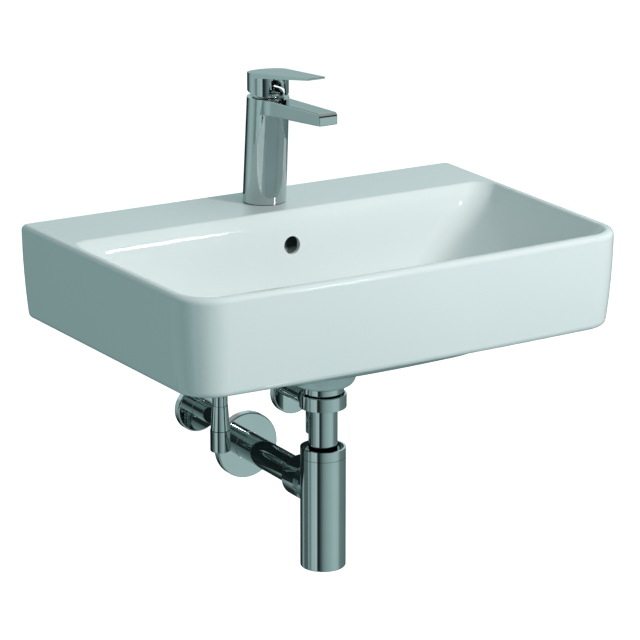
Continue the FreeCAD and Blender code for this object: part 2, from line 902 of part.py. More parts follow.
def tails_from_wall():
    """The tails hang in one upright plane, in which the valves stand too."""
    return size.tap_from_wall + size.tail_ahead


def seat_to_top():
    """Depth of the wider bore that takes the cartridge nut."""
    return size.cartridge_bore_depth - size.cartridge_length


def make_base_seal():
    inner = size.tap_base_radius - size.tail_chamber_wall
    outer = size.tap_base_radius - size.base_seal_inset
    ring("tap_base_seal", inner, outer, ZERO, size.base_seal_thickness, y=-size.tap_from_wall)


def make_aerator():
    low = aerator_low()
    high = low + size.aerator_length
    inner = size.aerator_radius - size.aerator_wall
    ring("aerator_housing", inner, size.aerator_radius, low, high, y=-aerator_from_wall())
    radius = inner - size.fit_gap
    core = radius / 2
    turned("aerator_insert", [
        (ZERO, low + size.aerator_recess * 2),
        (core, low + size.aerator_recess * 2),
        (core, low + size.aerator_recess),
        (radius, low + size.aerator_recess),
        (radius, high),
        (ZERO, high),
    ], y=-aerator_from_wall())


def aerator_low():
    return size.column_height + size.spout_rise - size.spout_tip_height - size.aerator_proud


def aerator_from_wall():
    return size.tap_from_wall + size.spout_reach - size.aerator_setback


def horseshoe(label, top, thickness):
    """Plate that opens to the front round the tails, with a hole for the stud."""
    body = new_body("Horseshoe")
    sketch = new_sketch(body, "XY_Plane", top - thickness)
    half, slot, end = size.horseshoe_half_width, size.horseshoe_slot_half, size.horseshoe_slot_end
    length, corner = size.horseshoe_half_length, size.horseshoe_corner
    draw_outline(sketch, [
        (-half, length, corner), (-half, -length), (-slot, -length), (-slot, end, corner),
        (slot, end, corner), (slot, -length), (half, -length), (half, length, corner),
    ])
    draw_circle(sketch, size.stud_radius + size.fit_gap, ZERO, size.stud_back)
    add_feature(body, "Pad", sketch, Length=thickness)
    stand_at(body, y=-size.tap_from_wall)
    keep(body, label)


def make_tap_fixing():
    pad_top = -size.deck_thickness
    plate_top = pad_top - size.fixing_pad_thickness
    nut_top = plate_top - size.fixing_plate_thickness
    horseshoe("fixing_pad", pad_top, size.fixing_pad_thickness)
    horseshoe("fixing_plate", plate_top, size.fixing_plate_thickness)
    foot = nut_top - size.fixing_nut_height - size.stud_spare
    stud_y = size.stud_back - size.tap_from_wall
    turned("fixing_stud", rod(size.stud_radius, foot, tail_top()), y=stud_y)
    faceted_nut("fixing_nut", 6, size.fixing_nut_flat, [
        (size.stud_radius + size.fit_gap, nut_top - size.fixing_nut_height),
        (size.fixing_nut_flat * 2, nut_top - size.fixing_nut_height),
        (size.fixing_nut_flat * 2, nut_top),
        (size.stud_radius + size.fit_gap, nut_top),
    ], y=stud_y)


def make_tail(label, side):
    """Supply tail from the angle valve up into the tap."""
    body = new_body("Tail")
    path = new_sketch(body, "XZ_Plane", ZERO)
    start = compression_nut_foot() - size.tail_in_valve
    valve_x = side * valve_from_middle()
    tap_x = side * size.tail_half_spacing
    draw_outline(path, [
        (valve_x, start),
        (valve_x, compression_nut_top() + size.tail_rise, size.tail_bend_radius),
        (tap_x, -size.deck_thickness - size.tail_drop, size.tail_bend_radius),
        (tap_x, tail_top()),
    ], closed=False)
    bore = size.tail_radius - size.tail_wall
    for kind, radius in (("AdditivePipe", size.tail_radius), ("SubtractivePipe", bore)):
        section = new_sketch(body, "XY_Plane", start)
        draw_circle(section, radius, valve_x)
        pipe = add_feature(body, kind, section)
        pipe.Spine = path
    stand_at(body, y=-tails_from_wall())
    keep(body, label)


# Cartridge and lever


def make_cartridge():
    y = -lever_from_wall()
    seat = cartridge_seat()
    top = seat + size.cartridge_length
    radius = size.cartridge_bore_radius - size.fit_gap
    well = size.carrier_radius + size.running_gap
    well_floor = size.column_height - size.carrier_drop
    turned("cartridge", [
        (ZERO, seat), (radius, seat), (radius, top), (well, top), (well, well_floor), (ZERO, well_floor),
    ], y=y)
    nut_radius = size.cartridge_bore_radius + size.cartridge_nut_step - size.fit_gap
    nut_top = top + size.cartridge_nut_height
    ring("cartridge_nut", well, nut_radius, top, nut_top, y=y)
    cover_top = size.column_height + size.cover_rise
    cover_radius = well + size.cover_wall
    turned("cartridge_cover", [
        (well, nut_top),
        (nut_radius, nut_top),
        (nut_radius, nut_top + size.cover_flange_thickness),
        (cover_radius, nut_top + size.cover_flange_thickness),
        (cover_radius, cover_top, size.cover_edge_radius),
        (well, cover_top),
    ], y=y)


def make_carrier():
    """Turning core of the cartridge: a slotted drum with the pin that the stem tilts on."""
    body = new_body("Carrier")
    foot = size.column_height - size.carrier_drop
    top = size.column_height + size.cover_rise
    drum = new_sketch(body, "XY_Plane", foot)
    draw_circle(drum, size.carrier_radius)
    add_feature(body, "Pad", drum, Length=top - foot)
    slot = new_sketch(body, "XY_Plane", top + size.cut_overrun)
    half = size.stem_half_width + size.fit_gap
    draw_outline(slot, [
        (-half, size.stem_slot_back), (-half, -size.stem_slot_front),
        (half, -size.stem_slot_front), (half, size.stem_slot_back),
    ])
    cut_hole(body, slot, top + size.cut_overrun - pivot_height() + size.stem_slot_drop)
    cross_hole(body, size.pivot_pin_radius + size.fit_gap / 2, pivot_height(), size.carrier_radius * 2)
    stand_at(body, y=-lever_from_wall())
    keep(body, "lever_carrier")
    reach = size.carrier_radius - size.pivot_pin_inset
    pin = rod(size.pivot_pin_radius, -reach, reach)
    turned("stem_pin", pin, y=-lever_from_wall(), z=pivot_height(), turn=ALONG_X)


def pivot_height():
    return size.column_height - size.pivot_drop


def cross_hole(body, radius, height, length):
    """A hole along X right through the piece."""
    sketch = new_sketch(body, "YZ_Plane", -length / 2)
    draw_circle(sketch, radius, ZERO, height)
    cut_hole(body, sketch, length, along_normal=True)


def roof_height():
    return crown_height() - size.hood_top_wall


def make_stem():
    body = new_body("Stem")
    foot = pivot_height() - size.stem_foot_drop
    sketch = new_sketch(body, "XY_Plane", foot)
    half = size.stem_half_width
    draw_outline(sketch, [(-half, half), (-half, -half), (half, -half), (half, half)])
    add_feature(body, "Pad", sketch, Length=roof_height() - size.stem_top_gap - foot)
    cross_hole(body, size.pivot_pin_radius + size.running_gap, pivot_height(), size.stem_half_width * 4)
    stand_at(body, y=-lever_from_wall())
    keep(body, "lever_stem")


def hood_radius():
    return size.tap_top_radius - size.hood_inset


def crown_height():
    return size.column_height + size.hood_back_height


def lever_plan(body):
    """Hood and paddle seen from above: a round back and two sides drawn tangent to it."""
    sketch = new_sketch(body, "XY_Plane", size.column_height)
    radius, half, reach = hood_radius(), size.paddle_half_width, size.paddle_reach
    turn = math.acos(radius.value / math.hypot(half.value, reach.value)) - math.atan2(reach.value, half.value)
    circle = Part.Circle(FreeCAD.Vector(), FreeCAD.Vector(0, 0, 1), radius.value)
    arc = sketch.addGeometry(Part.ArcOfCircle(circle, turn, math.pi - turn), False)
    right, left = (FreeCAD.Vector(side * half.value, -reach.value, 0) for side in (1, -1))
    touch = FreeCAD.Vector(radius.value * math.cos(turn), radius.value * math.sin(turn), 0)
    far_touch = FreeCAD.Vector(-touch.x, touch.y, 0)
    left_side, tip, right_side = (
        sketch.addGeometry(Part.LineSegment(start, end), False)
        for start, end in ((far_touch, left), (left, right), (right, touch)))
    sketch.addConstraint([
        Sketcher.Constraint("Tangent", arc, 2, left_side, 1),
        Sketcher.Constraint("Coincident", left_side, 2, tip, 1),
        Sketcher.Constraint("Coincident", tip, 2, right_side, 1),
        Sketcher.Constraint("Tangent", right_side, 2, arc, 1),
    ])
    pin_point(sketch, arc, 3, ZERO, ZERO)
    constrain(sketch, "Radius", arc, radius)
    pin_point(sketch, tip, 1, -half, -reach)
    pin_point(sketch, tip, 2, half, -reach)
    add_feature(body, "Pad", sketch, Length=size.hood_back_height + size.paddle_rise + size.cut_overrun)


def hood_plan(body):
    sketch = new_sketch(body, "XY_Plane", size.column_height)
    draw_circle(sketch, hood_radius())
    add_feature(body, "Pad", sketch, Length=size.hood_back_height + size.paddle_rise)


def lever_side(body, corners):
    """The lever seen from the side, thicker than the lever is wide."""
    sketch = new_sketch(body, "YZ_Plane")
    draw_outline(sketch, corners)
    pad = add_feature(body, "Pad", sketch, Length=hood_radius() * 4)
    pad.Midplane = True


def make_lever():
    radius, reach = hood_radius(), size.paddle_reach
    crown = crown_height()
    tip_high = crown + size.paddle_rise
    tip_low = tip_high - size.paddle_tip_thickness
    slope = size.paddle_rise / (reach + radius)
    root_low = crown - size.paddle_root_drop
    under_slope = (tip_low - root_low) / (reach - radius)
    plan, side = new_body("PaddlePlan"), new_body("PaddleSide")
    lever_plan(plan)
    lever_side(side, [
        (radius, crown), (-reach, tip_high, size.paddle_nose_radius),
        (-reach, tip_low, size.paddle_nose_radius), (radius, root_low - under_slope * radius * 2),
    ])
    paddle = combine("Part::Common", "Paddle", plan, side)
    drum, slant = new_body("HoodPlan"), new_body("HoodSide")
    hood_plan(drum)
    foot = size.column_height
    lever_side(slant, [
        (radius, crown), (-radius, crown + slope * radius * 2),
        (-radius, foot + size.hood_front_gap), (radius, foot + size.hood_back_gap),
    ])
    hood = combine("Part::Common", "Hood", drum, slant)
    block = combine("Part::Fuse", "LeverBlock", paddle, hood)
    cavity = new_body("LeverCavity")
    hollow_hood(cavity)
    lever = combine("Part::Cut", "Lever", block, cavity)
    lever.Refine = True
    stand_at(lever, y=-lever_from_wall())
    keep(lever, "lever")


def hollow_hood(body):
    """What is cut from the lever: the hood's hollow round its hub, the socket, the arch, the grub hole."""
    low = size.column_height - size.cut_overrun
    roof = roof_height()
    hub_low = roof - size.hub_length
    inner = hood_radius() - size.hood_wall
    hollow = new_sketch(body, "XZ_Plane", ZERO)
    draw_outline(hollow, [
        (ZERO, low), (inner, low), (inner, roof),
        (size.hub_radius, roof), (size.hub_radius, hub_low), (ZERO, hub_low),
    ])
    turn_profile(body, "Revolution", hollow)
    socket = new_sketch(body, "XY_Plane", hub_low - size.fit_gap)
    half = size.stem_half_width + size.fit_gap / 2
    draw_outline(socket, [(-half, half), (-half, -half), (half, -half), (half, half)])
    add_feature(body, "Pad", socket, Length=size.hub_length - size.stem_top_gap + size.fit_gap * 2)
    arch = new_sketch(body, "XZ_Plane", size.hub_radius)
    foot, top, bend = size.arch_foot_half, size.arch_top_half, size.arch_radius
    draw_outline(arch, [(-foot, low), (foot, low), (top, roof, bend), (-top, roof, bend)])
    add_feature(body, "Pad", arch, Length=hood_radius())
    back_hole(body, size.grub_radius + size.fit_gap, ZERO, hood_radius())
    back_hole(body, size.index_plug_radius + size.fit_gap, inner - size.hood_wall, size.hood_wall * 3)


def back_hole(body, radius, start, length):
    """A round hole towards the wall, at the height of the grub screw."""
    sketch = new_sketch(body, "XZ_Plane", -start)
    draw_circle(sketch, radius, ZERO, grub_height())
    hole = add_feature(body, "Pad", sketch, Length=length)
    hole.Reversed = True


def grub_height():
    return roof_height() - size.hub_length / 2


def make_lever_screw():
    y = -lever_from_wall()
    start = size.stem_half_width + size.fit_gap
    turned("lever_screw", rod(size.grub_radius, start, size.hub_radius), y=y, z=grub_height(), turn=ALONG_Y)
    inner = hood_radius() - size.hood_wall
    outer = hood_radius() + size.index_plug_proud
    turned("index_plug", rod(size.index_plug_radius, inner, outer), y=y, z=grub_height(), turn=ALONG_Y)


# Push-open waste


def flange_seat():
    return floor_height() - size.seat_step + size.upper_seal_thickness


def flange_top():
    return flange_seat() + size.waste_flange_thickness


def union_top():
    return boss_foot() - size.lower_seal_thickness - size.locknut_height - size.union_gap


def union_foot():
    return union_top() - size.union_height


def waste_foot():
    """The waste's tail ends on the seal above the dip tube's collar."""
    return union_foot() + size.union_lip + size.tube_collar_thickness + size.union_seal_thickness


def make_waste():
    y = -size.drain_from_wall
    tail = size.waste_tail_radius
    bore = tail - size.waste_tail_wall
    body = new_body("WasteBody")
    profile = new_sketch(body, "XZ_Plane", ZERO)
    draw_outline(profile, [
        (bore, waste_foot()), (tail, waste_foot()), (tail, flange_seat()),
        (size.waste_flange_radius, flange_seat()), (size.waste_flange_radius, flange_top()),
        (bore, flange_top()),
    ])
    turn_profile(body, "Revolution", profile)
    spider_top = flange_seat() - size.spider_drop
    bar = new_sketch(body, "XY_Plane", spider_top - size.spider_height)
    reach, half = bore + size.waste_tail_wall / 2, size.spider_half_width
    draw_outline(bar, [(-reach, half), (-reach, -half), (reach, -half), (reach, half)])
    add_feature(body, "Pad", bar, Length=size.spider_height)
    hub = new_sketch(body, "XY_Plane", spider_top - size.spider_height)
    draw_circle(hub, size.spider_hub_radius)
    add_feature(body, "Pad", hub, Length=size.spider_height)
    hole = new_sketch(body, "XY_Plane", spider_top + size.cut_overrun)
    draw_circle(hole, size.click_radius + size.fit_gap)
    cut_hole(body, hole, size.spider_height + size.cut_overrun * 2)
    slot = new_sketch(body, "XZ_Plane", -tail - size.cut_overrun)
    slot_top = flange_seat() - size.waste_slot_drop
    slot_foot = slot_top - size.waste_slot_length
    half, bend = size.waste_slot_half_width, size.waste_slot_half_width / 2
    draw_outline(slot, [
        (-half, slot_foot, bend), (half, slot_foot, bend), (half, slot_top, bend), (-half, slot_top, bend),
    ])
    cut_hole(body, slot, tail * 2 + size.cut_overrun * 2, along_normal=True)
    stand_at(body, y=y)
    keep(body, "waste_body")
    ring("waste_upper_seal", tail + size.fit_gap, size.waste_flange_radius,
         flange_seat() - size.upper_seal_thickness, flange_seat(), y=y)
    seal_foot = boss_foot() - size.lower_seal_thickness
    ring("waste_lower_seal", tail + size.fit_gap, tail + size.lower_seal_width, seal_foot, boss_foot(), y=y)
    ring("waste_locknut", tail + size.fit_gap, tail + size.locknut_wall,
         seal_foot - size.locknut_height, seal_foot, y=y)


def make_plug():
    y = -size.drain_from_wall
    spider_top = flange_seat() - size.spider_drop
    spider_foot = spider_top - size.spider_height
    ring("click_cartridge", size.plug_stem_radius + size.running_gap, size.click_radius,
         spider_foot - size.click_hang, spider_top + size.click_proud, y=y)
    low = flange_top() + size.plug_gap
    high = low + size.plug_rim_thickness
    neck = low - size.plug_neck_length
    stem = size.plug_stem_radius
    foot = spider_foot - size.click_hang
    turned("waste_plug", [
        (ZERO, foot), (stem, foot), (stem, neck), (size.plug_neck_radius, neck), (size.plug_neck_radius, low),
        (size.plug_radius, low), (size.plug_radius, high), (size.plug_crown_radius, high + size.plug_crown),
        (ZERO, high + size.plug_crown),
    ], y=y)
    inner = size.plug_seal_radius - size.plug_seal_width
    ring("plug_seal", inner, size.plug_seal_radius, flange_top(), low, y=y)


# Union nut, dip tube and bottle trap


def collar_top():
    return union_foot() - size.tube_exposed


def trap_radius():
    return size.tube_radius + size.trap_annulus


def outlet_stub_radius():
    return size.tube_radius + size.outlet_stub_wall


def collar_seam():
    return collar_top() - size.collar_height


def trap_foot():
    return collar_seam() - size.trap_length


def outlet_height():
    return collar_seam() - size.outlet_drop


def make_union():
    y = -size.drain_from_wall
    thread = size.waste_tail_radius + size.fit_gap
    tube_hole = size.tube_radius + size.fit_gap
    outside = size.waste_tail_radius + size.union_wall
    mouth = outside - size.union_mouth_wall
    floor = union_foot() + size.union_lip
    turned("trap_union_nut", [
        (tube_hole, union_foot()), (outside, union_foot(), size.union_edge_radius),
        (outside, union_top(), size.union_edge_radius), (mouth, union_top()),
        (mouth, union_top() - size.union_mouth_depth), (thread, union_top() - size.union_mouth_depth),
        (thread, floor), (tube_hole, floor),
    ], y=y)
    collar_low = floor
    collar_high = floor + size.tube_collar_thickness
    tube, bore = size.tube_radius, size.tube_radius - size.tube_wall
    foot = trap_foot() + size.tube_foot_clearance
    turned("dip_tube", [
        (bore, foot), (tube, foot), (tube, collar_low), (size.waste_tail_radius, collar_low),
        (size.waste_tail_radius, collar_high), (bore, collar_high),
    ], y=y)
    ring("union_seal", tube, size.waste_tail_radius, collar_high, waste_foot(), y=y)


def make_collar():
    y = -size.drain_from_wall
    hole = size.tube_radius + size.fit_gap
    well = trap_radius() - size.collar_rim
    well_floor = collar_top() - size.collar_well_depth
    ledge = well_floor - size.collar_floor
    spigot = trap_radius() - size.thread_wall - size.fit_gap
    foot = collar_seam() - size.collar_spigot_length
    sleeve = spigot - size.collar_spigot_wall
    turned("trap_collar", [
        (hole, ledge), (hole, well_floor), (well, well_floor), (well, collar_top()),
        (trap_radius(), collar_top()), (trap_radius(), collar_seam()),
        (spigot, collar_seam()), (spigot, foot), (sleeve, foot), (sleeve, ledge),
    ], y=y)
    ring("collar_seal", hole, sleeve - size.fit_gap, ledge - size.collar_seal_height, ledge, y=y)


def make_trap():
    y = -size.drain_from_wall
    body = new_body("TrapBody")
    top = collar_seam() - size.seam_gap
    outer = trap_radius()
    inner = outer - size.trap_wall
    thread = outer - size.thread_wall
    blank = new_sketch(body, "XZ_Plane", ZERO)
    draw_outline(blank, [
        (ZERO, trap_foot()), (outer, trap_foot(), size.trap_foot_radius), (outer, top), (ZERO, top),
    ])
    turn_profile(body, "Revolution", blank)
    stub = new_sketch(body, "XZ_Plane", ZERO)
    draw_circle(stub, outlet_stub_radius(), ZERO, outlet_height())
    reach = outer + size.outlet_stub_reach
    pad = add_feature(body, "Pad", stub, Length=reach)
    pad.Reversed = True
    hollow = new_sketch(body, "XZ_Plane", ZERO)
    upper = top - size.thread_length
    lower = trap_foot() + size.thread_length
    draw_outline(hollow, [
        (ZERO, trap_foot()), (thread, trap_foot()), (thread, lower), (inner, lower),
        (inner, upper), (thread, upper), (thread, top), (ZERO, top),
    ])
    turn_profile(body, "Groove", hollow)
    bore = new_sketch(body, "XZ_Plane", ZERO)
    draw_circle(bore, size.tube_radius + size.fit_gap, ZERO, outlet_height())
    cut_hole(body, bore, reach)
    stand_at(body, y=y)
    keep(body, "trap_body")
    make_base_plug(thread - size.fit_gap, y)


def make_base_plug(radius, y):
    body = new_body("BasePlug")
    disc = new_sketch(body, "XY_Plane", trap_foot())
    draw_circle(disc, radius)
    add_feature(body, "Pad", disc, Length=size.base_plug_height)
    slot = new_sketch(body, "XY_Plane", trap_foot())
    half = size.base_plug_slot_half_width
    reach = radius - size.base_plug_slot_depth
    draw_outline(slot, [(-reach, half), (-reach, -half), (reach, -half), (reach, half)])
    cut_hole(body, slot, size.base_plug_slot_depth, along_normal=True)
    stand_at(body, y=y)
    keep(body, "trap_base_plug")
    top = trap_foot() + size.base_plug_height
    inner = radius - size.base_plug_seal_width
    ring("base_plug_seal", inner, radius, top, top + size.base_plug_seal_thickness, y=y)


def make_outlet():
    """Nut, seal, pipe and rosette from the trap to the wall; lengths run along +Y from the trap's axis."""
    y, z = -size.drain_from_wall, outlet_height()
    thread = outlet_stub_radius() + size.fit_gap
    nut = thread + size.outlet_nut_wall
    hole = size.tube_radius + size.fit_gap
    near = trap_radius() + size.outlet_nut_gap
    far = near + size.outlet_nut_length
    lip = far - size.outlet_nut_lip
    stub_end = trap_radius() + size.outlet_stub_reach
    turned("outlet_nut", [
        (thread, near), (nut, near), (nut, far, size.outlet_nut_edge),
        (hole, far), (hole, lip), (thread, lip),
    ], y=y, z=z, turn=ALONG_Y)
    ring("outlet_seal", hole, outlet_stub_radius(), stub_end, lip, y=y, z=z, turn=ALONG_Y)
    start = stub_end - size.outlet_pipe_bite
    end = size.drain_from_wall + size.pipe_in_wall
    pipe, bore = size.tube_radius, size.tube_radius - size.tube_wall
    spigot = pipe - size.pipe_end_step
    turned("outlet_pipe", [
        (bore, start), (pipe, start), (pipe, size.drain_from_wall), (spigot, size.drain_from_wall),
        (spigot, end), (bore, end),
    ], y=y, z=z, turn=ALONG_Y)
    rosette("trap_rosette", size.trap_rosette_radius, size.trap_rosette_height, size.tube_radius, ZERO, z)


def rosette(label, radius, height, pipe_radius, x, z):
    """Drum-shaped cover on the wall, open at its back."""
    sheet = size.rosette_sheet
    hole = pipe_radius + size.rosette_hole_gap
    turned(label, [
        (hole, -height), (radius, -height, size.rosette_edge_radius), (radius, ZERO), (radius - sheet, ZERO),
        (radius - sheet, sheet - height), (hole, sheet - height),
    ], x=x, z=z, turn=ALONG_Y)


# Angle valves


def valve_shoulder():
    return size.valve_shoulder_rise - size.valve_depth


def valve_foot():
    return -size.valve_depth - size.valve_barrel_radius - size.valve_foot_clearance


def valve_from_middle():
    """Half the spacing of the valves, never so little that their rosettes reach the trap's."""
    reach = size.trap_rosette_radius + size.valve_rosette_radius + size.rosette_side_gap
    rise = -size.valve_depth - outlet_height()
    return largest(size.valve_half_spacing, largest(ZERO, reach * reach - rise * rise).root())


def compression_nut_foot():
    return valve_shoulder() + size.compression_nut_gap


def compression_nut_top():
    return compression_nut_foot() + size.compression_nut_height


def make_valve(name, side):
    x, y = side * valve_from_middle(), -tails_from_wall()
    body = new_body("Valve")
    neck_top = valve_shoulder() + size.valve_neck_length
    profile = new_sketch(body, "XZ_Plane", ZERO)
    draw_outline(profile, [
        (ZERO, valve_foot()), (size.valve_foot_radius, valve_foot()),
        (size.valve_shoulder_radius, valve_shoulder()), (size.valve_neck_radius, valve_shoulder()),
        (size.valve_neck_radius, neck_top), (ZERO, neck_top),
    ])
    turn_profile(body, "Revolution", profile)
    barrel = new_sketch(body, "XZ_Plane", ZERO)
    draw_circle(barrel, size.valve_barrel_radius, ZERO, -size.valve_depth)
    pad = add_feature(body, "Pad", barrel, Length=tails_from_wall())
    pad.Reversed = True
    thread = new_sketch(body, "XZ_Plane", -tails_from_wall())
    draw_circle(thread, size.valve_thread_radius, ZERO, -size.valve_depth)
    pad = add_feature(body, "Pad", thread, Length=size.valve_in_wall)
    pad.Reversed = True
    tail_stop = compression_nut_foot() - size.tail_in_valve
    mouth = new_sketch(body, "XY_Plane", neck_top + size.cut_overrun)
    draw_circle(mouth, size.tail_radius + size.fit_gap)
    cut_hole(body, mouth, neck_top + size.cut_overrun - tail_stop)
    gland = new_sketch(body, "XY_Plane", valve_foot())
    draw_circle(gland, size.spindle_radius + size.running_gap)
    cut_hole(body, gland, size.spindle_in_body, along_normal=True)
    stand_at(body, x=x, y=y)
    keep(body, f"{name}_valve_body")
    make_compression_fitting(name, x, y)
    make_handle(name, x, y)
    rosette(f"{name}_valve_rosette", size.valve_rosette_radius, size.valve_rosette_height,
            size.valve_barrel_radius, x, -size.valve_depth)


def make_compression_fitting(name, x, y):
    low, top = compression_nut_foot(), compression_nut_top()
    thread = size.valve_neck_radius + size.fit_gap
    hole = size.tail_radius + size.fit_gap
    lip = top - size.compression_nut_lip
    nut = size.compression_nut_radius
    turned(f"{name}_compression_nut", [
        (thread, low), (nut, low), (nut, top, size.compression_nut_edge),
        (hole, top), (hole, lip), (thread, lip),
    ], x=x, y=y)
    ring(f"{name}_ferrule", hole, size.valve_neck_radius, lip - size.ferrule_height, lip, x=x, y=y)


def make_handle(name, x, y):
    top = valve_foot() - size.handle_gap
    foot = top - size.handle_height
    spindle_foot = top - size.spindle_in_handle
    spindle = rod(size.spindle_radius, spindle_foot, valve_foot() + size.spindle_in_body)
    turned(f"{name}_spindle", spindle, x=x, y=y)
    socket = size.spindle_radius + size.fit_gap
    turned(f"{name}_handle", [
        (ZERO, foot), (size.handle_radius, foot, size.handle_edge_radius), (size.handle_radius, top),
        (socket, top), (socket, spindle_foot), (ZERO, spindle_foot),
    ], x=x, y=y)


make_basin()
make_tap_body()
make_base_seal()
make_aerator()
make_tap_fixing()
make_cartridge()
make_carrier()
make_stem()
make_lever()
make_lever_screw()
make_waste()
make_plug()
make_union()
make_collar()
make_trap()
make_outlet()
for valve_name, valve_side in (("hot", -1), ("cold", 1)):
    make_valve(valve_name, valve_side)
    make_tail(f"{valve_name}_tail", valve_side)
write_pieces()
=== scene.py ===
import math

import bpy
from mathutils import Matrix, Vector


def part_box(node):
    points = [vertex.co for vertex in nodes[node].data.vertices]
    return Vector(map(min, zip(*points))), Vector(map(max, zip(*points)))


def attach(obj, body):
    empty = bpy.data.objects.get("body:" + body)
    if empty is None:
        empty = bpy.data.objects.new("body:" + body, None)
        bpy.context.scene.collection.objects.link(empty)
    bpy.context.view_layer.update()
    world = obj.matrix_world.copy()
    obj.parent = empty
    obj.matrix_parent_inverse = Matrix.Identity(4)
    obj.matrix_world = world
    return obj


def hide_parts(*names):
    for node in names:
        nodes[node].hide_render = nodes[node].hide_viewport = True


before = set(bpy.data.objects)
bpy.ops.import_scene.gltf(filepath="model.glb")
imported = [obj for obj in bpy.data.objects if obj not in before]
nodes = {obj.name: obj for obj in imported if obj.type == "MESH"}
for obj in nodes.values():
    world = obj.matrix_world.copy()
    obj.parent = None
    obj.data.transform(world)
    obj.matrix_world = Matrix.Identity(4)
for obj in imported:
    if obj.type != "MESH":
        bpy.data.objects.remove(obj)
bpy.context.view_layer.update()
print("frame loaded:", len(nodes), "nodes")


# Camera

cameraView = {
    "target": (-0.01017, -0.185, -0.03615),
    "back": (-0.4963, -0.8198, 0.2857),
    "distance": 3.22529,
    "lens": 169.19,
    "sensor": 36.0,
}


def setCamera(view):
    back = Vector(view["back"]).normalized()
    lens = bpy.data.cameras.new("camera")
    lens.lens = view["lens"]
    lens.sensor_width = view["sensor"]
    camera = bpy.data.objects.new("camera", lens)
    camera.location = Vector(view["target"]) + back * view["distance"]
    camera.rotation_mode = "QUATERNION"
    camera.rotation_quaternion = back.to_track_quat("Z", "Y")
    bpy.context.scene.collection.objects.link(camera)
    bpy.context.scene.camera = camera


setCamera(cameraView)
print("camera set")


# Materials

# Places of the colour sockets on a mix node
mixFirst, mixSecond, mixResult = 6, 7, 2
# Part of a noise's range over which a tint changes
tintSpan = (0.35, 0.65)


def newMaterial(name):
    material = bpy.data.materials.new(name)
    material.use_nodes = True
    tree = material.node_tree
    return material, tree, tree.nodes["Principled BSDF"]


def addNode(tree, kind, values=None, **settings):
    node = tree.nodes.new(kind)
    for key, value in settings.items():
        setattr(node, key, value)
    for key, value in (values or {}).items():
        node.inputs[key].default_value = value
    return node


def objectPlace(tree):
    return addNode(tree, "ShaderNodeTexCoord").outputs["Object"]


# One soft noise that every finish uses for its roughness and its fine relief
def makeSurfaceGroup():
    group = bpy.data.node_groups.new("surfaceVariation", "ShaderNodeTree")
    face = group.interface
    face.new_socket("Place", in_out="INPUT", socket_type="NodeSocketVector")
    for name in ("Scale", "Smoothest", "Roughest"):
        face.new_socket(name, in_out="INPUT", socket_type="NodeSocketFloat")
    for name in ("Roughness", "Height"):
        face.new_socket(name, in_out="OUTPUT", socket_type="NodeSocketFloat")
    start, end = addNode(group, "NodeGroupInput"), addNode(group, "NodeGroupOutput")
    noise = addNode(group, "ShaderNodeTexNoise", {"Detail": 3.0, "Roughness": 0.55})
    spread = addNode(group, "ShaderNodeMapRange", {"From Min": 0.3, "From Max": 0.7})
    link = group.links.new
    link(start.outputs["Place"], noise.inputs["Vector"])
    link(start.outputs["Scale"], noise.inputs["Scale"])
    link(noise.outputs["Fac"], spread.inputs["Value"])
    link(start.outputs["Smoothest"], spread.inputs["To Min"])
    link(start.outputs["Roughest"], spread.inputs["To Max"])
    link(spread.outputs["Result"], end.inputs["Roughness"])
    link(noise.outputs["Fac"], end.inputs["Height"])
    return group


# Fine lines round an upright axis, as a lathe or a polishing wheel leaves them
def makeTurnedGroup():
    group = bpy.data.node_groups.new("turnedLines", "ShaderNodeTree")
    face = group.interface
    face.new_socket("Place", in_out="INPUT", socket_type="NodeSocketVector")
    face.new_socket("Spacing", in_out="INPUT", socket_type="NodeSocketFloat")
    face.new_socket("Height", in_out="OUTPUT", socket_type="NodeSocketFloat")
    start, end = addNode(group, "NodeGroupInput"), addNode(group, "NodeGroupOutput")
    stretch = addNode(group, "ShaderNodeMapping", {"Scale": (0.03, 0.03, 1.0)})
    lines = addNode(group, "ShaderNodeTexNoise", {"Detail": 4.0, "Roughness": 0.6})
    link = group.links.new
    link(start.outputs["Place"], stretch.inputs["Vector"])
    link(stretch.outputs["Vector"], lines.inputs["Vector"])
    link(start.outputs["Spacing"], lines.inputs["Scale"])
    link(lines.outputs["Fac"], end.inputs["Height"])
    return group


surfaceGroup = makeSurfaceGroup()
turnedGroup = makeTurnedGroup()


def addSurface(tree, shader, finish):
    place = objectPlace(tree)
    node = addNode(tree, "ShaderNodeGroup", node_tree=surfaceGroup)
    for socket, key in (("Scale", "scale"), ("Smoothest", "smoothest"), ("Roughest", "roughest")):
        node.inputs[socket].default_value = finish[key]
    bump = addNode(tree, "ShaderNodeBump", {
        "Strength": finish["relief"], "Distance": finish["reliefDepth"],
    })
    link = tree.links.new
    link(place, node.inputs["Place"])
    link(node.outputs["Roughness"], shader.inputs["Roughness"])
    link(node.outputs["Height"], bump.inputs["Height"])
    link(bump.outputs["Normal"], shader.inputs["Normal"])
    return place, node, bump


# The turned lines are a second relief over the first one
def addLines(tree, shader, place, firstBump, finish):
    lines = addNode(tree, "ShaderNodeGroup", {"Spacing": finish["lines"]}, node_tree=turnedGroup)
    bump = addNode(tree, "ShaderNodeBump", {
        "Strength": finish["lineRelief"], "Distance": finish["reliefDepth"],
    })
    link = tree.links.new
    link(place, lines.inputs["Place"])
    link(lines.outputs["Height"], bump.inputs["Height"])
    link(firstBump.outputs["Normal"], bump.inputs["Normal"])
    link(bump.outputs["Normal"], shader.inputs["Normal"])


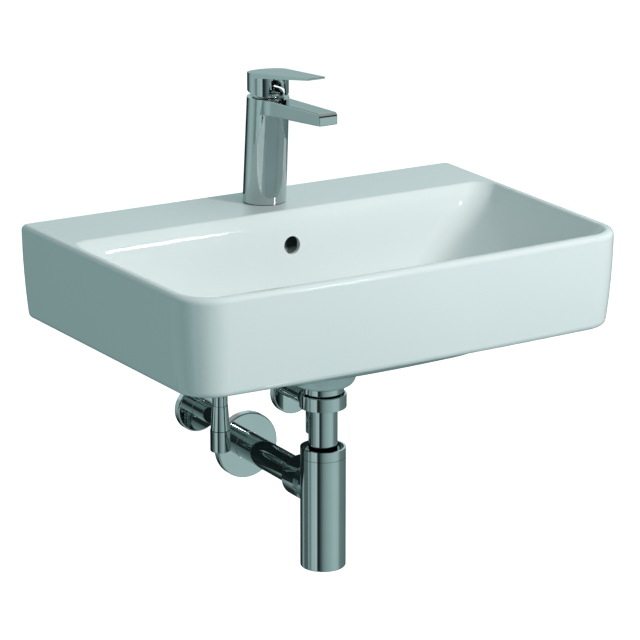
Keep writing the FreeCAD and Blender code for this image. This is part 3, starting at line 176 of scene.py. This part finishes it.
def addTint(tree, shader, place, finish):
    noise = addNode(tree, "ShaderNodeTexNoise", {"Scale": finish["tintScale"], "Detail": 2.0})
    ramp = addNode(tree, "ShaderNodeValToRGB")
    for stop, position, key in zip(ramp.color_ramp.elements, tintSpan, ("darkTint", "lightTint")):
        stop.position = position
        stop.color = (*finish[key], 1)
    link = tree.links.new
    link(place, noise.inputs["Vector"])
    link(noise.outputs["Fac"], ramp.inputs["Fac"])
    link(ramp.outputs["Color"], shader.inputs["Base Color"])
    return ramp


def mixColours(tree, factor, first, second):
    mix = addNode(tree, "ShaderNodeMix", data_type="RGBA")
    tree.links.new(factor, mix.inputs["Factor"])
    for colour, socket in ((first, mix.inputs[mixFirst]), (second, mix.inputs[mixSecond])):
        if isinstance(colour, tuple):
            socket.default_value = (*colour, 1)
        else:
            tree.links.new(colour, socket)
    return mix.outputs[mixResult]


# A smooth step from 0 to 1 between two limits
def addChange(tree, value, limits):
    step = addNode(tree, "ShaderNodeMapRange", {"From Min": limits[0], "From Max": limits[1]})
    step.interpolation_type = "SMOOTHSTEP"
    tree.links.new(value, step.inputs["Value"])
    return step.outputs["Result"]


def splitPlace(tree, place):
    parts = addNode(tree, "ShaderNodeSeparateXYZ")
    tree.links.new(place, parts.inputs["Vector"])
    return parts.outputs


# Painted shade: the inside of the overflow duct behind the bowl is painted dark, standing in for the shade in
# that recess
def addPaintedDuctShade(tree, place, colour, finish):
    parts = splitPlace(tree, place)
    link = tree.links.new
    beside = addNode(tree, "ShaderNodeMath", operation="ABSOLUTE")
    link(parts["X"], beside.inputs[0])
    share = addChange(tree, beside.outputs[0], finish["ductSide"])
    for axis, key in (("Y", "ductFront"), ("Y", "ductBack"), ("Z", "ductTop")):
        both = addNode(tree, "ShaderNodeMath", operation="MULTIPLY")
        link(share, both.inputs[0])
        link(addChange(tree, parts[axis], finish[key]), both.inputs[1])
        share = both.outputs[0]
    return mixColours(tree, share, colour, finish["ductPaint"])


# The ground back of the casting shows bare clay, and the painted shade of the overflow duct goes on the glaze
# here too
def addBareClayAndDuctShade(tree, shader, place, surface, tint, finish):
    clay = addChange(tree, splitPlace(tree, place)["Y"], finish["clayEdge"])
    grain = addNode(tree, "ShaderNodeTexNoise", {"Scale": finish["clayGrain"], "Detail": 4.0})
    smoothest, roughest = finish["clayRough"]
    dull = addNode(tree, "ShaderNodeMapRange", {"To Min": smoothest, "To Max": roughest})
    link = tree.links.new
    link(place, grain.inputs["Vector"])
    link(grain.outputs["Fac"], dull.inputs["Value"])
    body = mixColours(tree, grain.outputs["Fac"], finish["clayDark"], finish["clayLight"])
    # The glazed colour with the duct's painted shade on it
    glazeWithDuctShade = addPaintedDuctShade(tree, place, tint.outputs["Color"], finish)
    link(mixColours(tree, clay, glazeWithDuctShade, body), shader.inputs["Base Color"])
    rough = addNode(tree, "ShaderNodeMix")
    link(clay, rough.inputs["Factor"])
    link(surface.outputs["Roughness"], rough.inputs["A"])
    link(dull.outputs["Result"], rough.inputs["B"])
    link(rough.outputs["Result"], shader.inputs["Roughness"])


# Red on the hot side and blue on the cold side of the lever's small plug
def addHotCold(tree, shader, place, tint, finish):
    side = addChange(tree, splitPlace(tree, place)["X"], finish["sideEdge"])
    colour = mixColours(tree, side, finish["hot"], finish["cold"])
    blend = addNode(tree, "ShaderNodeMix", {"Factor": finish["strength"]}, data_type="RGBA")
    link = tree.links.new
    link(tint.outputs["Color"], blend.inputs[mixFirst])
    link(colour, blend.inputs[mixSecond])
    link(blend.outputs[mixResult], shader.inputs["Base Color"])


def makeFinish(name, finish):
    material, tree, shader = newMaterial(name)
    shader.inputs["Metallic"].default_value = finish["metallic"]
    place, surface, bump = addSurface(tree, shader, finish)
    tint = addTint(tree, shader, place, finish)
    if "lines" in finish:
        addLines(tree, shader, place, bump, finish)
    if "clayEdge" in finish:
        addBareClayAndDuctShade(tree, shader, place, surface, tint, finish)
    if "sideEdge" in finish:
        addHotCold(tree, shader, place, tint, finish)
    return material


finishes = {
    "glaze": {
        "metallic": 0.0, "scale": 40.0, "smoothest": 0.04, "roughest": 0.08,
        "relief": 0.04, "reliefDepth": 0.0004,
        "tintScale": 6.0, "darkTint": (0.80, 0.845, 0.845), "lightTint": (0.82, 0.86, 0.86),
        "clayEdge": (-0.0009, -0.0003), "clayGrain": 900.0, "clayRough": (0.55, 0.8),
        "clayDark": (0.66, 0.64, 0.60), "clayLight": (0.76, 0.75, 0.72),
        # The box inside the overflow duct, and the dark colour painted there as shade
        "ductSide": (0.0165, 0.0155), "ductFront": (-0.0955, -0.0940), "ductBack": (-0.0765, -0.0775),
        "ductTop": (0.052, 0.050), "ductPaint": (0.05, 0.06, 0.058),
    },
    "chrome": {
        "metallic": 1.0, "scale": 90.0, "smoothest": 0.03, "roughest": 0.07,
        "relief": 0.008, "reliefDepth": 0.0002,
        "tintScale": 20.0, "darkTint": (0.545, 0.61, 0.61), "lightTint": (0.575, 0.635, 0.635),
        "lines": 2600.0, "lineRelief": 0.005,
    },
    "brass": {
        "metallic": 1.0, "scale": 120.0, "smoothest": 0.18, "roughest": 0.32,
        "relief": 0.1, "reliefDepth": 0.0002,
        "tintScale": 60.0, "darkTint": (0.62, 0.47, 0.22), "lightTint": (0.72, 0.56, 0.29),
        "lines": 3200.0, "lineRelief": 0.25,
    },
    "steel": {
        "metallic": 1.0, "scale": 150.0, "smoothest": 0.22, "roughest": 0.4,
        "relief": 0.1, "reliefDepth": 0.0002,
        "tintScale": 60.0, "darkTint": (0.46, 0.47, 0.48), "lightTint": (0.55, 0.56, 0.57),
        "lines": 2400.0, "lineRelief": 0.2,
    },
    "rubber": {
        "metallic": 0.0, "scale": 300.0, "smoothest": 0.55, "roughest": 0.75,
        "relief": 0.2, "reliefDepth": 0.0002,
        "tintScale": 80.0, "darkTint": (0.018, 0.018, 0.019), "lightTint": (0.035, 0.035, 0.036),
    },
    "cartridge_plastic": {
        "metallic": 0.0, "scale": 200.0, "smoothest": 0.35, "roughest": 0.5,
        "relief": 0.1, "reliefDepth": 0.0001,
        "tintScale": 50.0, "darkTint": (0.72, 0.72, 0.70), "lightTint": (0.79, 0.79, 0.77),
    },
    "index_plastic": {
        "metallic": 0.0, "scale": 200.0, "smoothest": 0.12, "roughest": 0.2,
        "relief": 0.05, "reliefDepth": 0.0001,
        "tintScale": 50.0, "darkTint": (0.34, 0.36, 0.37), "lightTint": (0.40, 0.42, 0.43),
        "sideEdge": (-0.0002, 0.0002), "hot": (0.42, 0.02, 0.02), "cold": (0.02, 0.08, 0.40), "strength": 0.9,
    },
}
materials = {slot: makeFinish(slot + "Finish", finish) for slot, finish in finishes.items()}
for node in nodes.values():
    for slot in node.material_slots:
        slot.material = materials[slot.material.name.split(".")[0]]
print("materials set:", len(materials))


# Pieces

# Edges blunter than this are shaded smooth
smoothAngle = math.radians(35)


def clearSelection():
    bpy.ops.object.select_all(action="DESELECT")


def startEdit(mode="VERT"):
    bpy.ops.object.mode_set(mode="EDIT")
    bpy.ops.mesh.select_mode(type=mode)
    bpy.ops.mesh.select_all(action="SELECT")


def endEdit():
    bpy.ops.object.mode_set(mode="OBJECT")


def applyModifier(piece, kind, **settings):
    modifier = piece.modifiers.new("shape", kind)
    for key, value in settings.items():
        setattr(modifier, key, value)
    bpy.ops.object.modifier_apply(modifier=modifier.name)


# Takes away what lies on the normal's side of a plane
def cutAway(place, normal):
    bpy.ops.mesh.select_all(action="SELECT")
    bpy.ops.mesh.bisect(plane_co=place, plane_no=Vector(normal).normalized(), clear_outer=True)


def joinPieces(kept, others):
    clearSelection()
    for piece in [kept] + others:
        piece.select_set(True)
    bpy.context.view_layer.objects.active = kept
    bpy.ops.object.join()


def dressPiece(piece, name, slot, body):
    piece.name = name
    piece.data.materials.clear()
    piece.data.materials.append(materials[slot])
    clearSelection()
    piece.select_set(True)
    bpy.context.view_layer.objects.active = piece
    bpy.ops.object.transform_apply(location=True, rotation=True, scale=True)
    bpy.ops.object.shade_smooth_by_angle(angle=smoothAngle)
    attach(piece, body)


# Round guard between the column and the hood, part of a ball about the lever's hinge
leverGuard = {
    "hinge": (0.0, -0.059, 0.179),
    "radius": 0.0195,
    "wall": 0.0009,
    "foot": 0.1856,
    "frontTop": 0.1898,
    "backTop": 0.1926,
    "frontReach": 0.0162,
    "backReach": 0.0140,
    "edge": 0.0003,
    "edgeAngle": 50.0,
    "segments": 96,
    "rings": 72,
}


def makeLeverGuard(guard):
    hinge = Vector(guard["hinge"])
    clearSelection()
    bpy.ops.mesh.primitive_uv_sphere_add(
        segments=guard["segments"], ring_count=guard["rings"], radius=guard["radius"], location=hinge,
    )
    piece = bpy.context.object
    bpy.ops.object.transform_apply(location=True)
    startEdit()
    cutAway((0, 0, guard["foot"]), (0, 0, -1))
    front = Vector((0, hinge.y - guard["frontReach"], guard["frontTop"]))
    along = Vector((0, hinge.y + guard["backReach"], guard["backTop"])) - front
    cutAway(front, (0, -along.z, along.y))
    endEdit()
    applyModifier(piece, "SOLIDIFY", thickness=guard["wall"], offset=-1.0)
    applyModifier(
        piece, "BEVEL", width=guard["edge"], segments=2,
        limit_method="ANGLE", angle_limit=math.radians(guard["edgeAngle"]),
    )
    dressPiece(piece, "leverGuard", "chrome", "lever_swivel")


# Six-sided cells in the mouth of the aerator
aeratorGrid = {
    "reach": 0.0068,
    "pitch": 0.0016,
    "rib": 0.0003,
    "depth": 0.0008,
    "lift": 0.0004,
    # Distance of the rows as a share of the pitch
    "rowShare": 0.866,
    # Points of neighbouring cells closer than this share of a rib become one
    "weldShare": 0.05,
}


def makeAeratorGrid(grid):
    low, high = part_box("aerator_housing")
    middle = Vector(((low[0] + high[0]) / 2, (low[1] + high[1]) / 2, low[2] + grid["lift"]))
    pitch, rowPitch = grid["pitch"], grid["pitch"] * grid["rowShare"]
    clearSelection()
    bpy.ops.mesh.primitive_circle_add(
        vertices=6, radius=pitch / math.sqrt(3), fill_type="NGON", location=middle,
    )
    cell = bpy.context.object
    startEdit("FACE")
    bpy.ops.mesh.inset(thickness=grid["rib"] / 2)
    bpy.ops.mesh.delete(type="FACE")
    bpy.ops.mesh.select_all(action="SELECT")
    bpy.ops.mesh.extrude_region_move(TRANSFORM_OT_translate={"value": (0, 0, grid["depth"])})
    endEdit()
    rows = int(grid["reach"] / rowPitch) + 1
    copies = []
    for row in range(-rows, rows + 1):
        for column in range(-rows - 1, rows + 2):
            offset = Vector(((column + (row % 2) / 2) * pitch, row * rowPitch, 0))
            if 0 < offset.length <= grid["reach"] - pitch / 2:
                clearSelection()
                cell.select_set(True)
                bpy.context.view_layer.objects.active = cell
                bpy.ops.object.duplicate()
                bpy.context.object.location = middle + offset
                copies.append(bpy.context.object)
    joinPieces(cell, copies)
    startEdit("FACE")
    bpy.ops.mesh.remove_doubles(threshold=grid["rib"] * grid["weldShare"])
    bpy.ops.mesh.select_all(action="DESELECT")
    bpy.ops.mesh.select_interior_faces()
    bpy.ops.mesh.delete(type="FACE")
    bpy.ops.mesh.select_all(action="SELECT")
    bpy.ops.mesh.normals_make_consistent(inside=False)
    endEdit()
    dressPiece(cell, "aeratorGrid", "cartridge_plastic", "fixed")


# A ridge that winds up the upright axis; the bare ends are counted in ridges
winding = {"bareEnds": 3, "steps": 24, "corners": 4}


def makeRidge(thread):
    clearSelection()
    corners, steps = winding["corners"], winding["steps"]
    bpy.ops.mesh.primitive_circle_add(
        vertices=corners, radius=thread["ridge"], rotation=(math.pi / 2, 0, 0),
    )
    ridge = bpy.context.object
    bpy.ops.object.transform_apply(rotation=True)
    startEdit()
    turns = int((thread["length"] - winding["bareEnds"] * thread["ridge"]) / thread["pitch"])
    bpy.ops.transform.translate(value=(thread["core"], 0, -turns * thread["pitch"] / 2))
    endEdit()
    applyModifier(
        ridge, "SCREW", axis="Z", screw_offset=thread["pitch"], iterations=turns,
        steps=steps, render_steps=steps,
    )
    startEdit()
    bpy.ops.mesh.select_non_manifold()
    bpy.ops.mesh.fill_holes(sides=corners)
    bpy.ops.mesh.select_all(action="SELECT")
    bpy.ops.mesh.normals_make_consistent(inside=False)
    endEdit()
    return ridge


# Threaded rod that holds the tap down
fixingStud = {"core": 0.0035, "ridge": 0.0005, "pitch": 0.00125, "chamfer": 0.0006, "facets": 48}


def makeFixingStud(stud):
    low, high = (Vector(corner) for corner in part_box("fixing_stud"))
    length = high.z - low.z
    ridge = makeRidge({**stud, "length": length})
    clearSelection()
    bpy.ops.mesh.primitive_cylinder_add(vertices=stud["facets"], radius=stud["core"], depth=length)
    rod = bpy.context.object
    startEdit("EDGE")
    bpy.ops.mesh.select_all(action="DESELECT")
    endEdit()
    # The level edges are those of the two ends
    for edge in rod.data.edges:
        first, second = (rod.data.vertices[index].co.z for index in edge.vertices)
        edge.select = abs(first - second) < stud["core"]
    bpy.ops.object.mode_set(mode="EDIT")
    bpy.ops.mesh.bevel(offset=stud["chamfer"], segments=2)
    endEdit()
    joinPieces(rod, [ridge])
    rod.location = (low + high) / 2
    dressPiece(rod, "threadedStud", "steel", "fixed")
    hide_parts("fixing_stud")


# Pipe threads of the two inlets behind the wall
inletThread = {"core": 0.0103, "ridge": 0.0006, "pitch": 0.001814, "length": 0.0145, "behindWall": 0.0005}


def makeInletThreads(thread):
    for side in ("hot", "cold"):
        low, high = (Vector(corner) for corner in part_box(side + "_valve_rosette"))
        ridge = makeRidge(thread)
        ridge.rotation_euler = (math.pi / 2, 0, 0)
        middle = (low + high) / 2
        ridge.location = (middle.x, thread["length"] / 2 + thread["behindWall"], middle.z)
        dressPiece(ridge, side + "InletThread", "chrome", "fixed")


makeLeverGuard(leverGuard)
makeAeratorGrid(aeratorGrid)
makeFixingStud(fixingStud)
makeInletThreads(inletThread)
print("pieces made")


# Stage

studio = {
    "floorHeight": -0.785,
    "floorHalf": 12.0,
    "floorGlow": 0.9,
    "floorPaint": (0.8, 0.82, 0.82),
    # Brightness that polished surfaces see, by degrees to the right of the camera
    "lowRing": (
        (-180, 0.03), (-140, 0.03), (-129, 0.17), (-120, 0.44), (-112, 0.57), (-107, 0.58), (-100, 0.68),
        (-92, 0.65), (-79, 0.56), (-70, 0.32), (-64, 0.34), (-58, 0.67), (-45, 0.68), (-33, 0.82),
        (-27, 0.02), (-16, 0.05), (-4, 0.24), (5, 0.39), (15, 0.48), (25, 0.55), (46, 0.66),
        (60, 0.73), (82, 0.67), (92, 0.36), (110, 0.29), (130, 0.26), (180, 0.05),
    ),
    "horizonRing": (
        (-180, 0.54), (-120, 0.54), (-90, 0.45), (-60, 0.25), (-30, 0.05), (20, 0.03), (75, 0.04),
        (100, 0.30), (130, 0.54), (180, 0.54),
    ),
    "upperRing": (
        (-180, 0.90), (-110, 0.85), (-80, 0.45), (-40, 0.06), (75, 0.06), (100, 0.45), (125, 0.90),
        (180, 0.90),
    ),
    # Heights, as the sine of the angle, between which one ring passes into the next
    "lowToHorizon": (-0.14, -0.04),
    "horizonToUpper": (0.17, 0.28),
    "upperToTop": (0.42, 0.54),
    "overhead": 0.46,
    # What dull surfaces are lit by
    "fillBelow": (0.265, 0.385, 0.385),
    "fillAbove": (0.15, 0.235, 0.235),
    "belowToAbove": (-0.1, 0.5),
}
# Screens behind the pipework, which only polished surfaces see
screens = {
    "darkScreen": {
        "low": (-0.20, 0.05, -0.31), "high": (0.15, 0.05, -0.02),
        "paint": (0.045, 0.055, 0.055), "clearance": 0.085,
    },
    "greyScreen": {
        "low": (-0.60, 0.05, -0.80), "high": (-0.20, 0.05, -0.24),
        "paint": (0.20, 0.25, 0.25), "clearance": 0.085,
    },
}
# The dimmer a part of a ring is, the less red it has
ringTint = {"red": 0.6, "redGain": 0.15, "greenAndBlue": 0.91}


def addRing(tree, share, ring):
    ramp = addNode(tree, "ShaderNodeValToRGB")
    stops = ramp.color_ramp.elements
    while len(stops) < len(ring):
        stops.new(0.5)
    for stop, (degrees, _) in zip(stops, ring):
        stop.position = degrees / 360 + 0.5
    for stop, (_, level) in zip(stops, ring):
        red = level * (ringTint["red"] + ringTint["redGain"] * level)
        other = level * ringTint["greenAndBlue"]
        stop.color = (red, other, other, 1)
    tree.links.new(share, ramp.inputs["Fac"])
    return ramp.outputs["Color"]


def setWorld(look):
    world = bpy.data.worlds.new("studio")
    bpy.context.scene.world = world
    world.use_nodes = True
    tree = world.node_tree
    link = tree.links.new
    tree.nodes.clear()
    output = addNode(tree, "ShaderNodeOutputWorld")
    path = addNode(tree, "ShaderNodeLightPath")
    back = Vector(cameraView["back"])
    turn = addNode(tree, "ShaderNodeMapping", {"Rotation": (0.0, 0.0, -math.atan2(back.y, back.x))})
    link(addNode(tree, "ShaderNodeTexCoord").outputs["Generated"], turn.inputs["Vector"])
    parts = splitPlace(tree, turn.outputs["Vector"])
    height = parts["Z"]
    angle = addNode(tree, "ShaderNodeMath", operation="ARCTAN2")
    link(parts["Y"], angle.inputs[0])
    link(parts["X"], angle.inputs[1])
    share = addNode(tree, "ShaderNodeMapRange", {"From Min": -math.pi, "From Max": math.pi})
    link(angle.outputs[0], share.inputs["Value"])
    dome = addRing(tree, share.outputs["Result"], look["lowRing"])
    for change, ring in (("lowToHorizon", "horizonRing"), ("horizonToUpper", "upperRing")):
        higher = addRing(tree, share.outputs["Result"], look[ring])
        dome = mixColours(tree, addChange(tree, height, look[change]), dome, higher)
    top = addChange(tree, height, look["upperToTop"])
    dome = mixColours(tree, top, dome, (look["overhead"],) * 3)
    rise = addChange(tree, height, look["belowToAbove"])
    fill = mixColours(tree, rise, look["fillBelow"], look["fillAbove"])
    lit = mixColours(tree, path.outputs["Is Glossy Ray"], fill, dome)
    # The backdrop itself is white
    clear = addNode(tree, "ShaderNodeMath", operation="MAXIMUM")
    link(path.outputs["Is Camera Ray"], clear.inputs[0])
    link(path.outputs["Is Transmission Ray"], clear.inputs[1])
    seen = mixColours(tree, clear.outputs[0], lit, (1.0, 1.0, 1.0))
    light = addNode(tree, "ShaderNodeBackground")
    link(seen, light.inputs["Color"])
    link(light.outputs["Background"], output.inputs["Surface"])


def setFloor(look):
    clearSelection()
    bpy.ops.mesh.primitive_plane_add(size=2 * look["floorHalf"], location=(0, 0, look["floorHeight"]))
    floor = bpy.context.object
    floor.name = "floor"
    floor.visible_glossy = False
    floor.visible_diffuse = False
    material, tree, shader = newMaterial("floorWhite")
    tree.nodes.remove(shader)
    paint = addNode(tree, "ShaderNodeBsdfDiffuse", {"Color": (*look["floorPaint"], 1)})
    glow = addNode(tree, "ShaderNodeEmission", {"Color": (1, 1, 1, 1), "Strength": look["floorGlow"]})
    path = addNode(tree, "ShaderNodeLightPath")
    nothing = addNode(tree, "ShaderNodeEmission", {"Color": (0, 0, 0, 1), "Strength": 0.0})
    lift = addNode(tree, "ShaderNodeMixShader")
    both = addNode(tree, "ShaderNodeAddShader")
    link = tree.links.new
    link(path.outputs["Is Camera Ray"], lift.inputs["Fac"])
    link(nothing.outputs[0], lift.inputs[1])
    link(glow.outputs[0], lift.inputs[2])
    link(paint.outputs[0], both.inputs[0])
    link(lift.outputs[0], both.inputs[1])
    # From below the floor is clear
    side = addNode(tree, "ShaderNodeNewGeometry")
    clear = addNode(tree, "ShaderNodeBsdfTransparent")
    seen = addNode(tree, "ShaderNodeMixShader")
    link(side.outputs["Backfacing"], seen.inputs["Fac"])
    link(both.outputs[0], seen.inputs[1])
    link(clear.outputs[0], seen.inputs[2])
    link(seen.outputs[0], tree.nodes["Material Output"].inputs["Surface"])
    floor.data.materials.append(material)


def setScreen(name, panel):
    low, high = Vector(panel["low"]), Vector(panel["high"])
    clearSelection()
    bpy.ops.mesh.primitive_plane_add(size=1, location=(low + high) / 2, rotation=(math.pi / 2, 0, 0))
    screen = bpy.context.object
    screen.name = name
    screen.scale = (high.x - low.x, high.z - low.z, 1)
    bpy.ops.object.transform_apply(location=True, rotation=True, scale=True)
    screen.visible_camera = False
    screen.visible_diffuse = False
    screen.visible_transmission = False
    screen.visible_shadow = False
    material, tree, shader = newMaterial(name + "Paint")
    shader.inputs["Base Color"].default_value = (*panel["paint"], 1)
    shader.inputs["Roughness"].default_value = 1.0
    shader.inputs["Specular IOR Level"].default_value = 0.0
    # What lies close in front of a screen doesn't see it
    path = addNode(tree, "ShaderNodeLightPath")
    far = addNode(tree, "ShaderNodeMath", {1: panel["clearance"]}, operation="GREATER_THAN")
    clear = addNode(tree, "ShaderNodeBsdfTransparent")
    seen = addNode(tree, "ShaderNodeMixShader")
    link = tree.links.new
    link(path.outputs["Ray Length"], far.inputs[0])
    link(far.outputs[0], seen.inputs["Fac"])
    link(clear.outputs[0], seen.inputs[1])
    link(shader.outputs[0], seen.inputs[2])
    link(seen.outputs[0], tree.nodes["Material Output"].inputs["Surface"])
    screen.data.materials.append(material)


lamps = {
    # Hard light from the right, which draws the shadows
    "key": {
        "azimuth": 27.0, "height": 25.0, "distance": 3.0, "size": 0.3,
        "power": 44.0, "colour": (0.95, 0.91, 0.91), "mirrored": False,
    },
    # Wide soft light from above
    "top": {
        "azimuth": 30.0, "height": 58.0, "distance": 3.0, "size": 2.2,
        "power": 32.0, "colour": (0.88, 0.91, 0.91), "mirrored": False,
    },
    # The bright spot that the glaze and the chrome mirror
    "shine": {
        "azimuth": 27.0, "height": 25.0, "distance": 2.9, "size": 0.3,
        "power": 5.0, "colour": (1.0, 1.0, 1.0), "mirrored": True,
    },
}


def setLamp(name, lamp):
    data = bpy.data.lights.new(name, "AREA")
    data.shape = "SQUARE"
    data.size = lamp["size"]
    data.energy = lamp["power"]
    data.color = lamp["colour"]
    light = bpy.data.objects.new(name, data)
    turn, rise = math.radians(lamp["azimuth"]), math.radians(lamp["height"])
    away = Vector((math.sin(turn) * math.cos(rise), -math.cos(turn) * math.cos(rise), math.sin(rise)))
    light.location = Vector(cameraView["target"]) + away * lamp["distance"]
    light.rotation_mode = "QUATERNION"
    light.rotation_quaternion = away.to_track_quat("Z", "Y")
    light.visible_glossy = lamp["mirrored"]
    bpy.context.scene.collection.objects.link(light)


setWorld(studio)
setFloor(studio)
for screenName, panel in screens.items():
    setScreen(screenName, panel)
for lampName, lamp in lamps.items():
    setLamp(lampName, lamp)
bpy.context.scene.view_settings.view_transform = "Standard"
print("stage set")
